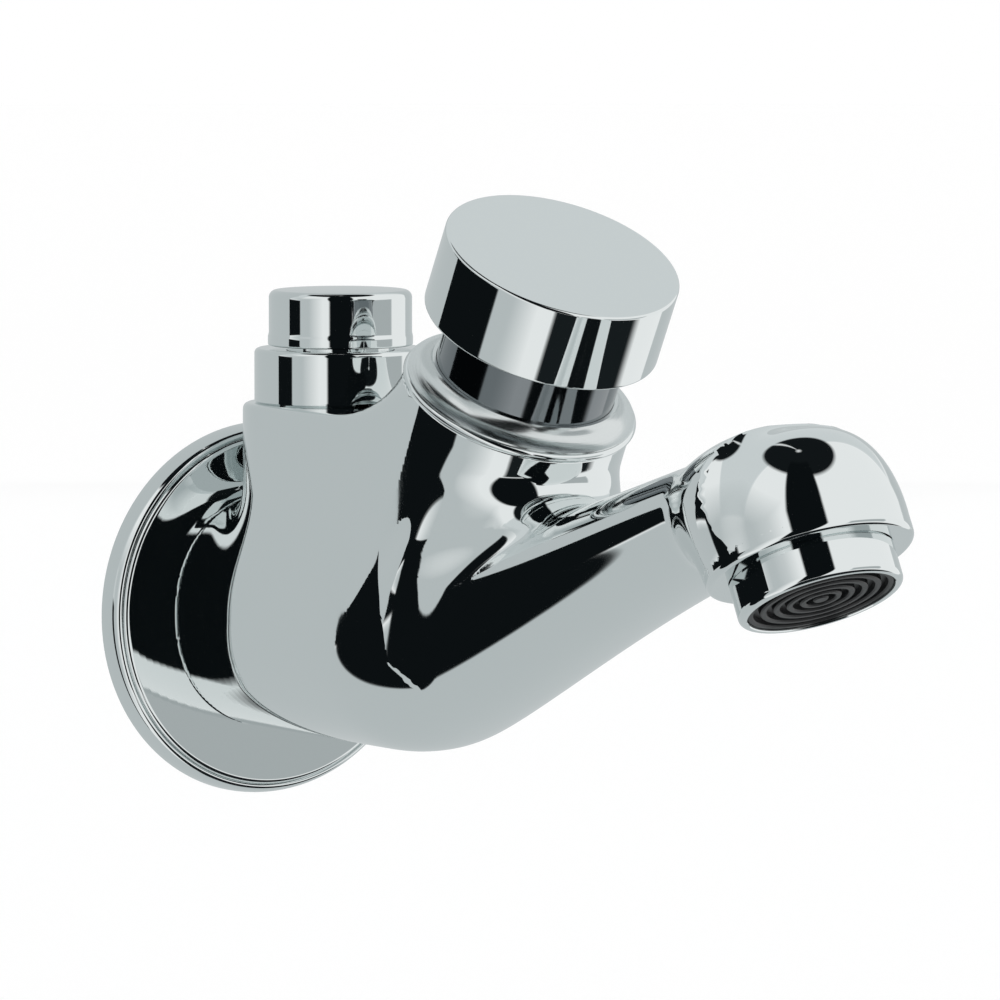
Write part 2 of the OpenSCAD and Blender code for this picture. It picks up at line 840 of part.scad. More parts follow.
module jumper_screw() {
    slot = 0.9;
    slot_depth = 0.7;
    head_foot_z = jumper_washer_z - screw_head_h;
    color(brass) on_control() difference() {
        union() {
            rod(screw_head_r, head_foot_z, jumper_washer_z);
            rod(screw_r, head_foot_z, jumper_disc_top);
        }
        translate([-slot / 2, -screw_head_r - over, head_foot_z - over])
            cube([slot, 2 * (screw_head_r + over), over + slot_depth]);
    }
}

module control_seat() {
    lip = 0.9;
    hole_r = control_hole_d / 2;
    outer_r = control_chamber_r - seat_fit;
    face_z = control_seat_top - lip;
    color(brass) on_control() turned([
        [hole_r, control_seat_z], [outer_r, control_seat_z], [outer_r, face_z], [hole_r + 2 * lip, face_z],
        [hole_r + lip, control_seat_top], [hole_r, control_seat_top]
    ]);
}

// Threaded ring with a wrench flat on each side
module aerator_housing() {
    seam = 0.2;
    bevel = 0.6;
    flat_z = 0.9 - aerator_drop;
    color(chrome) on_outlet() difference() {
        union() {
            turned([
                [0, -aerator_drop], [aerator_r - bevel, -aerator_drop], [aerator_r, bevel - aerator_drop],
                [aerator_r, -seam], [0, -seam]
            ]);
            rod(aerator_thread_r, -over, aerator_thread_h);
        }
        rod(insert_r, -aerator_drop - over, insert_top);
        rod(screen_r + seat_fit, -aerator_drop, aerator_thread_h + over);
        for (s = [0, 180])
            rotate([0, 0, s]) translate([aerator_flats / 2, -aerator_r, flat_z])
                cube([aerator_r, 2 * aerator_r, -flat_z]);
    }
}

// Rings of the insert hang from a pierced plate
module aerator_insert() {
    ring_t = 0.7;
    hub_r = 1.6;
    outer_r = insert_r - seat_fit;
    pitch = (insert_r - ring_t / 2 - hub_r) / insert_rings;
    plate_z = insert_top - insert_plate;
    color(black_plastic) on_outlet() difference() {
        union() {
            rod(outer_r, plate_z, insert_top);
            rod(hub_r, insert_foot, insert_top);
            for (i = [1:insert_rings]) {
                mid = hub_r + pitch * i;
                r_out = min(mid + ring_t / 2, outer_r);
                tube(r_out, mid - ring_t / 2, insert_foot, plate_z + insert_plate / 2);
            }
        }
        for (i = [1:insert_rings])
            for (k = [0:3 * i - 1])
                rotate([0, 0, 120 * k / i]) translate([hub_r + pitch * (i - 0.5), 0, 0])
                    rod(pitch / 2 - ring_t, insert_foot, insert_top + over);
    }
}

module aerator_screen() color(steel) on_outlet() rod(screen_r, insert_top, insert_top + screen_h);

// Cone-shaped strainer that stands in the outlet's chamber
module aerator_strainer() {
    rim_r = screen_r - seat_fit;
    cone_r = screen_r - 1.6;
    tip_r = 2.4;
    inset = strainer_wall / 2;
    foot = aerator_thread_h - strainer_rim_h;
    top = outlet_shoulder + strainer_rise;
    color(white_plastic) on_outlet() turned([
        [cone_r - strainer_wall, foot], [rim_r, foot], [rim_r, aerator_thread_h],
        [cone_r, aerator_thread_h], [tip_r, top], [0, top],
        [0, top - strainer_wall], [tip_r - inset, top - strainer_wall],
        [cone_r - strainer_wall, aerator_thread_h - inset]
    ]);
}

module aerator_washer() {
    lap = 0.6;
    bore_r = screen_r - lap;
    color(black_rubber) on_outlet() tube(aerator_thread_r, bore_r, aerator_thread_h, outlet_shoulder);
}

body();
wall_flange();
push_button();
button_sleeve();
cartridge_collar();
stem_wiper();
cartridge_barrel();
barrel_head();
barrel_gasket();
barrel_orings();
rod_seal();
plunger_rod();
piston();
piston_seal();
valve_seat();
valve_washer();
valve_disc();
valve_nut();
return_spring();
control_cap();
bonnet_ring();
control_bonnet();
bonnet_gasket();
spindle_oring();
control_spindle();
spindle_clip();
control_jumper();
jumper_washer();
jumper_screw();
control_seat();
aerator_housing();
aerator_insert();
aerator_screen();
aerator_strainer();
aerator_washer();
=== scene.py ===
import math
import bmesh
import bpy
import numpy as np
from mathutils import Matrix, Vector


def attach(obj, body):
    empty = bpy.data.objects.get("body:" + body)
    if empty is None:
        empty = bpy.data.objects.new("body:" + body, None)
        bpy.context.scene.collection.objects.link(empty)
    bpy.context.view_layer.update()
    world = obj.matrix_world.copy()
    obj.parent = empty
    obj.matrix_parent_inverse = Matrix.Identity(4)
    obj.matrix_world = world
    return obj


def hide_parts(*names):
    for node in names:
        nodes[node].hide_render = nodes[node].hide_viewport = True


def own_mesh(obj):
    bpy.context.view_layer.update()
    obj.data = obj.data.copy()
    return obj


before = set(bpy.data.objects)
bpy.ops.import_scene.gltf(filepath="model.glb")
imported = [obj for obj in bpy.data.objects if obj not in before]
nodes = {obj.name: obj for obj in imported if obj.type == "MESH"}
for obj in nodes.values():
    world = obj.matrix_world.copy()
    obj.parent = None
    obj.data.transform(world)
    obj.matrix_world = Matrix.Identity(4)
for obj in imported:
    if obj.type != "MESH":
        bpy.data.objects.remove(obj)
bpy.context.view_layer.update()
print("frame loaded with", len(nodes), "nodes")

mm = 0.001
tap = {  # working axes of the solids, in mm and degrees
    "rim": (0, -75, 39.05), "lean": 28.1,
    "control": (0, -23.8, 0), "deck": 34.6,
    "outlet": (0, -151.1, 18.4), "outletLean": -26.95,
}


def axisAt(place, lean):
    return Matrix.Translation(Vector(place) * mm) @ Matrix.Rotation(math.radians(lean), 4, "X")


cartridgeAxis = axisAt(tap["rim"], tap["lean"])
controlAxis = axisAt(tap["control"], 0)
outletAxis = axisAt(tap["outlet"], tap["outletLean"])
wallAxis = axisAt((0, 0, 0), 90)  # its z runs out of the wall


def linkMesh(name, bm):
    mesh = bpy.data.meshes.new(name)
    bm.to_mesh(mesh)
    bm.free()
    made = bpy.data.objects.new(name, mesh)
    bpy.context.scene.collection.objects.link(made)
    return made


def addPiece(name, bm, body, materials, replaced=(), sharpAngle=32):
    bm.normal_update()
    for edge in bm.edges:
        edge.smooth = len(edge.link_faces) == 2 and edge.calc_face_angle(0) < math.radians(sharpAngle)
    for face in bm.faces:
        face.smooth = True
    piece = linkMesh(name, bm)
    for material in materials:
        piece.data.materials.append(material)
    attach(piece, body)
    if replaced:
        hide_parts(*replaced)
    return piece


def spun(profile, place, steps=144, hold=0.05):  # (radius, height) in mm, closed unless it ends on the axis
    onAxis = profile[0][0] == 0 and profile[-1][0] == 0
    held = []
    for (r0, z0), (r1, z1) in zip(profile, profile[1:] if onAxis else profile[1:] + profile[:1]):
        held.append((r0, z0))
        run = math.hypot(r1 - r0, z1 - z0)
        if run > 8 * hold:  # loops close to the corners keep long faces flat
            held += [(r0 + (r1 - r0) * f, z0 + (z1 - z0) * f) for f in (hold / run, 1 - hold / run)]
    held += profile[-1:] if onAxis else []
    bm = bmesh.new()
    verts = [bm.verts.new((r * mm, 0, z * mm)) for r, z in held]
    edges = [bm.edges.new(pair) for pair in zip(verts, verts[1:] if onAxis else verts[1:] + verts[:1])]
    bmesh.ops.spin(bm, geom=verts + edges, cent=(0, 0, 0), axis=(0, 0, 1), angle=2 * math.pi, steps=steps,
                   use_merge=True)
    bmesh.ops.remove_doubles(bm, verts=bm.verts[:], dist=1e-7)
    bmesh.ops.recalc_face_normals(bm, faces=bm.faces[:])
    bmesh.ops.transform(bm, matrix=place, verts=bm.verts[:])
    return bm


def rounded(corner, radius, start, end, count=6):  # arc of a profile, angles in degrees
    angles = [math.radians(start + (end - start) * i / count) for i in range(count + 1)]
    return [(corner[0] + radius * math.cos(a), corner[1] + radius * math.sin(a)) for a in angles]


def carved(blank, cutters, solver):  # the blank's mesh less each cutter, whose faces take the second material
    for cutter in cutters:
        cut = blank.modifiers.new(cutter.name, "BOOLEAN")
        cut.operation, cut.solver, cut.object = "DIFFERENCE", solver, cutter
    mesh = bpy.data.meshes.new_from_object(blank.evaluated_get(bpy.context.evaluated_depsgraph_get()))
    for used in [blank, *cutters]:
        bpy.data.objects.remove(used)
    bm = bmesh.new()
    bm.from_mesh(mesh)
    return bm


def hexColour(code):
    channels = [int(code[i:i + 2], 16) / 255 for i in (1, 3, 5)]
    return [c / 12.92 if c <= 0.04045 else ((c + 0.055) / 1.055) ** 2.4 for c in channels] + [1.0]


def addNode(tree, kind, settings=None, **links):
    node = tree.nodes.new(kind)
    for key, value in (settings or {}).items():
        if isinstance(key, str) and hasattr(node, key):
            setattr(node, key, value)
        else:
            node.inputs[key].default_value = value
    for key, source in links.items():
        tree.links.new(source, node.inputs[key.replace("_", " ")])
    return node


def newMaterial(name, tint, metallic):
    material = bpy.data.materials.new(name)
    material.use_nodes = True
    tree = material.node_tree
    shader = tree.nodes["Principled BSDF"]
    shader.inputs["Base Color"].default_value = hexColour(tint)
    shader.inputs["Metallic"].default_value = metallic
    return material, tree, shader, addNode(tree, "ShaderNodeTexCoord").outputs["Object"]


def setSurface(tree, shader, height, low, high, strength, depth):  # one height drives roughness and relief
    level = addNode(tree, "ShaderNodeMapRange", {"To Min": low, "To Max": high}, Value=height)
    tree.links.new(level.outputs["Result"], shader.inputs["Roughness"])
    bump = addNode(tree, "ShaderNodeBump", {"Strength": strength, "Distance": depth * mm}, Height=height)
    tree.links.new(bump.outputs["Normal"], shader.inputs["Normal"])


def makeChrome(name, tint, roughness, spread, wave):  # bright plate on hand-polished brass: a mirror, barely wavy
    material, tree, shader, place = newMaterial(name, tint, 1.0)
    swell = addNode(tree, "ShaderNodeTexNoise", {"Scale": 1 / (18 * mm), "Detail": 2.0}, Vector=place)
    setSurface(tree, shader, swell.outputs["Fac"], roughness, roughness + spread, wave, 0.05)
    return material


def makeTurned(name, tint, roughness, spacing, depth, place, lean):  # lathe rings smear the reflections
    material, tree, shader, where = newMaterial(name, tint, 1.0)
    local = addNode(tree, "ShaderNodeMapping", {"vector_type": "TEXTURE", "Location": Vector(place) * mm,
                                                "Rotation": (math.radians(lean), 0, 0)}, Vector=where)
    outward = addNode(tree, "ShaderNodeVectorMath", {"operation": "MULTIPLY", 1: (1, 1, 0)})
    tree.links.new(local.outputs["Vector"], outward.inputs[0])
    radius = addNode(tree, "ShaderNodeVectorMath", {"operation": "LENGTH"})
    tree.links.new(outward.outputs["Vector"], radius.inputs[0])
    split = addNode(tree, "ShaderNodeSeparateXYZ", Vector=local.outputs["Vector"])
    feed = addNode(tree, "ShaderNodeMath", {"operation": "SUBTRACT"})
    tree.links.new(radius.outputs["Value"], feed.inputs[0])
    tree.links.new(split.outputs["Z"], feed.inputs[1])
    pattern = {"noise_dimensions": "1D", "Scale": 1 / (spacing * mm), "Detail": 3.0}
    rings = addNode(tree, "ShaderNodeTexNoise", pattern, W=feed.outputs["Value"])
    setSurface(tree, shader, rings.outputs["Fac"], roughness * 0.5, roughness * 1.5, depth, 0.03)
    return material


def makeDrawn(name, tint, roughness, spacing, depth):  # drawn wire and woven mesh: a soft metal grain
    material, tree, shader, place = newMaterial(name, tint, 1.0)
    grain = addNode(tree, "ShaderNodeTexNoise", {"Scale": 1 / (spacing * mm), "Detail": 4.0}, Vector=place)
    setSurface(tree, shader, grain.outputs["Fac"], roughness * 0.7, roughness * 1.4, depth, 0.02)
    return material


def makeMoulded(name, tint, dark, roughness, grit):  # moulded rubber or plastic: matt, with a faint grain
    material, tree, shader, place = newMaterial(name, tint, 0.0)
    grain = addNode(tree, "ShaderNodeTexNoise", {"Scale": 1 / (grit * mm), "Detail": 2.0}, Vector=place)
    shade = addNode(tree, "ShaderNodeMix", {"data_type": "RGBA"})
    shade.inputs[6].default_value = hexColour(dark)
    shade.inputs[7].default_value = hexColour(tint)
    tree.links.new(grain.outputs["Fac"], shade.inputs[0])
    tree.links.new(shade.outputs[2], shader.inputs["Base Color"])
    setSurface(tree, shader, grain.outputs["Fac"], roughness * 0.9, roughness * 1.1, 0.25, 0.03)
    return material


chromePlate = makeChrome("polishedChromePlate", "#dfe4e4", 0.02, 0.025, 0.12)
# painted shade: the sleeve's plate takes a darker tint, standing in for the dim reflections under the button's overhang
paintedShadeChrome = makeChrome("chromePlatePaintedShade", "#7c8285", 0.05, 0.05, 0.2)
turnedChrome = makeTurned("turnedChrome", "#d4d9d9", 0.2, 0.45, 0.3, tap["rim"], tap["lean"])
cartridgeBrass = makeTurned("turnedBrass", "#d1a85a", 0.26, 0.5, 0.35, tap["rim"], tap["lean"])
controlBrass = makeTurned("turnedBrassHeadwork", "#cfa656", 0.26, 0.5, 0.35, tap["control"], 0)
tailBrass = makeTurned("threadedBrass", "#d1a85a", 0.3, 0.6, 0.25, (0, 0, 0), 90)
drawnSteel = makeDrawn("drawnStainless", "#b9bcc0", 0.3, 0.4, 0.3)
wovenScreen = makeDrawn("wovenStainless", "#8d9094", 0.42, 0.35, 0.6)
nitrileRubber = makeMoulded("nitrileRubber", "#1d1d1f", "#141415", 0.75, 0.4)
blackAcetal = makeMoulded("blackAcetal", "#1a1c1e", "#101113", 0.42, 0.3)
whiteNylon = makeMoulded("whiteNylon", "#e6e6e0", "#dcdcd4", 0.5, 0.4)
print("materials made")

casting = {
    "barrelRadius": 18.85, "barrelStart": -0.9, "barrelFace": 4.5, "barrelEnd": -48,
    "bendIn": 21.6, "bendOut": 33.7, "rise": 15, "joinHeight": 11.7,
    "spoutHalf": (11.85, 8.5), "flare": 2.6, "flarePower": 6, "dip": 1.3, "dipPower": 10,
    "taperPower": 2.18, "taperLead": 0.1, "taperSoft": 0.03, "sectionPower": 2.174,
    "columnRadius": 15.5, "columnFoot": -5, "footBlend": 9, "deckEdge": 1.2, "saddleBlend": 11,
    "housingRadius": 17.9, "housingTop": -1.5, "housingFoot": -39.6, "narrowFrom": -26, "narrowRate": 0.012,
    "flat": 8, "flatFrom": -4, "flatOver": 28, "flatBlend": 5,
    "bossRadius": 15.8, "bossTop": 19.1, "domeStart": 4.1, "bossFoot": 1.4,
    "ringPower": 3.77, "crownPower": 2, "domePower": 2.7,
    "sideBlend": 6, "frontBlend": 14, "frontOver": 12, "bossBlend": 7,
    "crestFrom": 0.3, "crestOver": 0.6, "rimFrom": -2, "rimOver": 9, "voxel": 0.61,
}
cartridgeUp = np.array(cartridgeAxis.col[2][:3])
outletUp = np.array(outletAxis.col[2][:3])
rimPoint = np.array(tap["rim"], float)
outletPoint = np.array(tap["outlet"], float)
spineEnd = (outletPoint + casting["joinHeight"] * outletUp)[1:]
spineStart = np.array((casting["barrelEnd"], 0.0))
slope = math.radians(casting["rise"])
spineCurve = np.array([
    spineStart, spineStart + (-casting["bendIn"], 0),
    spineEnd + casting["bendOut"] * np.array((math.cos(slope), -math.sin(slope))), spineEnd,
])


def spinePlace(t):  # the barrel's straight run lies at t below 0
    u = np.clip(t, 0, 1)[:, None]
    p0, p1, p2, p3 = spineCurve
    point = (1 - u) ** 3 * p0 + 3 * (1 - u) ** 2 * u * p1 + 3 * (1 - u) * u * u * p2 + u ** 3 * p3
    along = 3 * (1 - u) ** 2 * (p1 - p0) + 6 * (1 - u) * u * (p2 - p1) + 3 * u * u * (p3 - p2)
    turning = np.where(t[:, None] > 0, 6 * (1 - u) * (p2 - 2 * p1 + p0) + 6 * u * (p3 - 2 * p2 + p1), 0)
    return point + np.minimum(t, 0)[:, None] * along, along, turning


def taperTable():  # share of the barrel's extra radius left along the spout, with a soft start
    at = np.linspace(-1, 1, 2001)
    step = at[1] - at[0]
    lead = casting["taperLead"]
    eased = np.where(at < lead, np.maximum(at, 0) ** 2 / (2 * lead), at - lead / 2)
    value = (1 - eased / (1 - lead / 2)) ** casting["taperPower"]
    reach = int(3 * casting["taperSoft"] / step)
    kernel = np.exp(-0.5 * (np.arange(-reach, reach + 1) * step / casting["taperSoft"]) ** 2)
    return at, np.convolve(np.pad(value, reach, mode="edge"), kernel / kernel.sum(), mode="valid")


taperAt, taperValue = taperTable()


def spoutHalves(t):  # half width and half height of the section at t
    taper = np.interp(t, taperAt, taperValue)
    wide, high = [tip + (casting["barrelRadius"] - tip) * taper for tip in casting["spoutHalf"]]
    u = np.clip(t, 0, 1)
    return wide + casting["flare"] * u ** casting["flarePower"], high - casting["dip"] * u ** casting["dipPower"]


def softMin(a, b, reach):
    h = np.maximum(reach - np.abs(a - b), 0) / reach
    return np.minimum(a, b) - h * h * reach / 4


def softMax(a, b, reach):
    return -softMin(-a, -b, reach)


def smoothStep(value):
    u = np.clip(value, 0, 1)
    return u * u * (3 - 2 * u)


def spoutField(p):  # barrel, belly and spout along the curved spine
    flat = p[:, 1:]
    starts = np.linspace(casting["barrelStart"], 1, 64)
    points = spinePlace(starts)[0]
    t = starts[np.argmin(((flat[:, None, :] - points[None]) ** 2).sum(2), axis=1)]
    for _ in range(6):
        point, along, turning = spinePlace(t)
        square = (along ** 2).sum(1)
        bend = np.maximum(square - ((flat - point) * turning).sum(1), 0.25 * square)
        t = np.clip(t + ((flat - point) * along).sum(1) / bend, casting["barrelStart"], 1)
    point, along, turning = spinePlace(t)
    along = along / np.linalg.norm(along, axis=1)[:, None]
    offset = flat - point
    v = offset[:, 0] * along[:, 1] - offset[:, 1] * along[:, 0]
    past = np.maximum(np.where(t >= 1, (offset * along).sum(1), -50), p[:, 1] + casting["barrelFace"])
    wide, high = spoutHalves(t)
    power = casting["sectionPower"]
    ratio = ((np.abs(p[:, 0]) / wide) ** power + (np.abs(v) / high) ** power) ** (1 / power)
    return np.maximum((ratio - 1) * np.minimum(wide, high), past), v / high


def columnPlan(p):  # flat-sided plan that widens from the column to the housing
    lean = math.tan(math.radians(tap["lean"]))
    run = np.maximum(tap["control"][1] - tap["rim"][1] + (p[:, 2] - tap["rim"][2]) * lean, 4)
    ahead = tap["control"][1] - p[:, 1]
    side = np.abs(p[:, 0])
    narrow = (casting["columnRadius"] - casting["housingRadius"]) / run
    wide = np.sqrt(1 - narrow ** 2)
    along = ahead * wide - side * narrow
    flank = side * wide + ahead * narrow - casting["columnRadius"]
    front = np.hypot(side, ahead - run) - casting["housingRadius"]
    back = np.hypot(side, ahead) - casting["columnRadius"]
    return np.where(along < 0, back, np.where(along > wide * run, front, flank))


def bossField(p):  # the domed end that the aerator screws into
    fromOutlet = p - outletPoint
    k = fromOutlet @ outletUp
    ring = np.linalg.norm(fromOutlet - k[:, None] * outletUp, axis=1) / casting["bossRadius"]
    crown = np.maximum(k - casting["domeStart"], 0) / (casting["bossTop"] - casting["domeStart"])
    swell = ring ** casting["ringPower"] + crown ** casting["crownPower"] + 1e-9
    dome = (swell ** (1 / casting["domePower"]) - 1) * casting["bossRadius"]
    return np.maximum(dome, casting["bossFoot"] - k)


def housingField(p, h):  # leaning housing, whose flanks stay flat ahead of its axis lower down
    radius = casting["housingRadius"]
    fromRim = p - rimPoint
    ahead = fromRim[:, 2] * cartridgeUp[1] - fromRim[:, 1] * cartridgeUp[2]
    lower = smoothStep((casting["flatFrom"] - h) / casting["flatOver"])
    flat = casting["flat"] * lower
    nose = softMax(ahead - flat, 0, casting["flatBlend"] * lower + 1e-3)
    radial = np.hypot(p[:, 0], np.minimum(ahead, 0) + nose * radius / (radius - flat))
    narrowing = np.maximum(casting["narrowFrom"] - h, 0) ** 2 * casting["narrowRate"]
    ends = np.maximum(h - casting["housingTop"], casting["housingFoot"] - h)
    return np.maximum(radial - radius + narrowing, ends)


def columnField(p, h, housing):  # rear column with the deck that sweeps up to the housing
    z = p[:, 2]
    saddle = softMin(z - tap["deck"], housing, casting["saddleBlend"])
    column = softMax(saddle, columnPlan(p), casting["deckEdge"])
    column = softMax(column, casting["columnFoot"] - z, casting["footBlend"])
    return np.maximum(column, h - casting["housingTop"])


def castingField(p):  # below 0 inside the casting, close to a distance in mm
    fromRim = p - rimPoint
    h = fromRim @ cartridgeUp
    housing = housingField(p, h)
    upright = np.minimum(columnField(p, h, housing), housing)
    spout, level = spoutField(p)
    axisAhead = tap["rim"][1] - fromRim[:, 2] * math.tan(math.radians(tap["lean"])) - p[:, 1]
    onTop = smoothStep((level - casting["crestFrom"]) / casting["crestOver"])
    underRim = smoothStep((casting["rimFrom"] - h) / casting["rimOver"])
    inFront = smoothStep(axisAhead / casting["frontOver"]) * onTop * underRim  # where the fillet over the spout is wide
    blend = casting["sideBlend"] + (casting["frontBlend"] - casting["sideBlend"]) * inFront
    return softMin(softMin(spout, upright, blend), bossField(p), casting["bossBlend"])


def fieldSlope(p, step=0.04):
    corners = np.array(((1, -1, -1), (-1, -1, 1), (-1, 1, -1), (1, 1, 1)), float)
    return sum(c * castingField(p + step * c)[:, None] for c in corners) / (4 * step)


def addCone(bm, place, low, high, lowRadius, highRadius):
    bmesh.ops.create_cone(bm, cap_ends=True, segments=96, radius1=lowRadius * mm, radius2=highRadius * mm,
                          depth=(high - low) * mm, matrix=place @ Matrix.Translation((0, 0, (high + low) / 2 * mm)))


rough = {"loops": 30, "lastLoop": 0.97, "housingFoot": 15.4, "bossShare": 0.6, "web": (32, 40), "webMiddle": -44}


def makeCastingRough():  # overlapping blocks that the remesh joins into one skin
    bm = bmesh.new()
    loops = []
    first = (casting["barrelFace"] + casting["barrelEnd"]) / (3 * casting["bendIn"])
    for t in np.linspace(first, rough["lastLoop"], rough["loops"]):
        point, along, _ = spinePlace(np.array((t,)))
        wide, high = spoutHalves(t)
        turn = math.atan2(-along[0, 1], -along[0, 0])
        place = (Matrix.Translation(Vector((0, *point[0])) * mm) @ Matrix.Rotation(turn, 4, "X")
                 @ wallAxis @ Matrix.Diagonal((wide * mm, high * mm, 1, 1)))
        isEnd = len(loops) in (0, rough["loops"] - 1)
        loop = bmesh.ops.create_circle(bm, cap_ends=isEnd, radius=1, segments=48, matrix=place)["verts"]
        loops.append(list({e for w in loop for e in w.link_edges}))
    for a, b in zip(loops, loops[1:]):
        bmesh.ops.bridge_loops(bm, edges=a + b)
    bmesh.ops.recalc_face_normals(bm, faces=bm.faces[:])
    deck, column, boss = tap["deck"], casting["columnRadius"], casting["bossRadius"]
    addCone(bm, cartridgeAxis, casting["housingFoot"], casting["housingTop"], rough["housingFoot"],
            casting["housingRadius"])
    addCone(bm, controlAxis, 0, deck, column, column)
    addCone(bm, outletAxis, casting["bossFoot"], casting["bossTop"], boss, boss * rough["bossShare"])
    across, along = rough["web"]
    web = Matrix.Diagonal((across * mm, along * mm, deck * mm, 1))
    middle = Matrix.Translation(Vector((0, rough["webMiddle"], deck / 2)) * mm)
    bmesh.ops.create_cube(bm, size=1, matrix=middle @ web)
    return bm


def settleOnField(points, rounds):  # each round moves a point down the slope, 1.5 mm at most
    for _ in range(rounds):
        slopes = fieldSlope(points)
        pull = castingField(points) / np.maximum((slopes ** 2).sum(1), 0.1)
        points = points - np.clip(pull, -1.5, 1.5)[:, None] * slopes
    return points


def settleMesh(bm, rounds):
    points = settleOnField(np.array([v.co[:] for v in bm.verts]) / mm, rounds)
    for v, q in zip(bm.verts, points):
        v.co = q * mm
    return points


bores = {  # what is drilled and turned out of the casting, (radius, height) on each axis
    "cartridge": [(0, -52), (11.1, -52), (11.1, -36), (13.15, -36), (13.15, -31.1), (14.55, -31.1), (14.55, -27.3),
                  (13.15, -27.3), (13.15, -14.8), (15.88, -14.8), (15.88, 1), (0, 1)],
    "control": [(0, 0), (5, 0), (5, 7), (9, 7), (9, 20.6), (10.03, 20.6), (10.03, 36), (0, 36)],
    "outlet": [(0, -1), (12.13, -1), (12.13, 9), (10.3, 9), (10.3, 12.8), (0, 12.8)],
    "inlet": [(0, 0), (6.5, 0), (6.5, 23.8), (0, 23.8)],
    "feed": ((-23.8, 14.0), (-54.5, 0.6), 4.5), "spoutWay": ((-71.1, 8.0), (-146.3, 27.8), 4.5),
}


def boreCutters():
    places = {"cartridge": cartridgeAxis, "control": controlAxis, "outlet": outletAxis, "inlet": wallAxis}
    cutters = [linkMesh(name, spun(bores[name], place, 64)) for name, place in places.items()]
    for name in ("feed", "spoutWay"):
        start, end, radius = bores[name]
        along = Vector((0, end[0] - start[0], end[1] - start[1]))
        place = Matrix.Translation(Vector((0, *start)) * mm) @ along.to_track_quat("Z", "Y").to_matrix().to_4x4()
        bm = bmesh.new()
        addCone(bm, place, 0, along.length, radius, radius)
        cutters.append(linkMesh(name, bm))
    for cutter in cutters:
        for material in (chromePlate, cartridgeBrass):
            cutter.data.materials.append(material)
        for polygon in cutter.data.polygons:
            polygon.material_index = 1
    return cutters


def makeCasting():
    blocks = linkMesh("castingRough", makeCastingRough())
    remesh = blocks.modifiers.new("oneSkin", "REMESH")
    remesh.mode = "VOXEL"
    remesh.voxel_size = casting["voxel"] * mm
    bm = carved(blocks, [], "MANIFOLD")
    for _ in range(3):
        settleMesh(bm, 4)
        bmesh.ops.smooth_vert(bm, verts=bm.verts[:], factor=0.5,
                              use_axis_x=True, use_axis_y=True, use_axis_z=True)
    points = settleMesh(bm, 5)
    worst = float(np.abs(castingField(points)).max())
    print("casting skin:", len(bm.verts), "points, worst", round(worst, 3), "mm off")
    skin = linkMesh("castingSkin", bm)
    for material in (chromePlate, cartridgeBrass):
        skin.data.materials.append(material)
    bm = carved(skin, boreCutters(), "MANIFOLD")
    piece = addPiece("tapCasting", bm, "tap", [chromePlate, cartridgeBrass], ["body"])
    mesh = piece.data
    slopes = fieldSlope(np.array([v.co[:] for v in mesh.vertices]) / mm)
    normals = slopes / np.maximum(np.linalg.norm(slopes, axis=1), 1e-6)[:, None]
    corners = np.zeros((len(mesh.loops), 3))  # the bores keep their own normals
    for polygon in mesh.polygons:
        if polygon.material_index == 0:
            for i in polygon.loop_indices:
                corners[i] = normals[mesh.loops[i].vertex_index]
    mesh.normals_split_custom_set(corners.tolist())
    print("casting carved:", len(mesh.polygons), "faces")


makeCasting()

rimBead = {"radius": 18.5, "bead": 0.6, "bore": 15.92, "seam": 17.6, "seamDepth": 0.4, "skirt": 17.94, "foot": -2.7}


def makeRimBead():
    b = rimBead
    low = -2 * b["bead"]
    bead = rounded((b["radius"] - b["bead"], -b["bead"]), b["bead"], 90, -90, 14)
    profile = [(b["bore"], 0), *bead, (b["seam"], low), (b["skirt"], low - b["seamDepth"]), (b["skirt"], b["foot"]),
               (b["bore"], b["foot"])]
    addPiece("housingRim", spun(profile, cartridgeAxis, 160), "tap", [chromePlate])


bossRim = {"radius": 15.82, "edge": 0.9, "top": 2.0, "bore": 12.16}


def makeBossRim():
    b = bossRim
    edge = rounded((b["radius"] - b["edge"], b["edge"]), b["edge"], -90, 0, 12)
    profile = [(b["bore"], 0), *edge, (b["radius"], b["top"]), (b["bore"], b["top"])]
    addPiece("outletRim", spun(profile, outletAxis, 160), "tap", [chromePlate])


flange = {"radius": 30, "face": 4.6, "sheet": 1.2, "hole": 11.41, "rim": 1.4, "rimLead": 0.8, "groove": 0.3,
          "faceRound": 0.9, "turnIn": 1.4, "dish": 0.22, "dishStart": 14}


def makeFlange():
    b = flange
    inner, back = b["radius"] - b["sheet"], b["face"] - b["sheet"]
    rise = b["face"] - b["rimLead"]
    lip = b["radius"] - b["rim"] - b["groove"]
    edge = lip - b["faceRound"]
    quarter = np.radians(np.linspace(0, 90, 16))
    rim = [(b["radius"] - b["rim"] * (1 - math.cos(a)), rise * math.sin(a)) for a in quarter]
    flatTo = b["dishStart"]
    face = [(r, b["face"] - b["dish"] * ((r - flatTo) / (edge - flatTo)) ** 3) for r in np.linspace(edge, flatTo, 14)]
    corner = (edge, b["face"] - b["dish"] - b["faceRound"])
    profile = [(b["hole"], back), (inner - b["turnIn"], back), (inner, back - b["turnIn"]), (inner, 0), *rim,
               (lip, rise - b["groove"]), *rounded(corner, b["faceRound"], 0, 80, 8), *face, (b["hole"], b["face"])]
    addPiece("wallFlange", spun(profile, wallAxis, 200), "tap", [chromePlate], ["wall_flange"])


button = {"radius": 18.49, "base": 11.7, "top": 24.5, "edge": 0.4, "roof": 21.5, "hollow": 14.2, "boss": 5.2,
          "rod": 3.03}


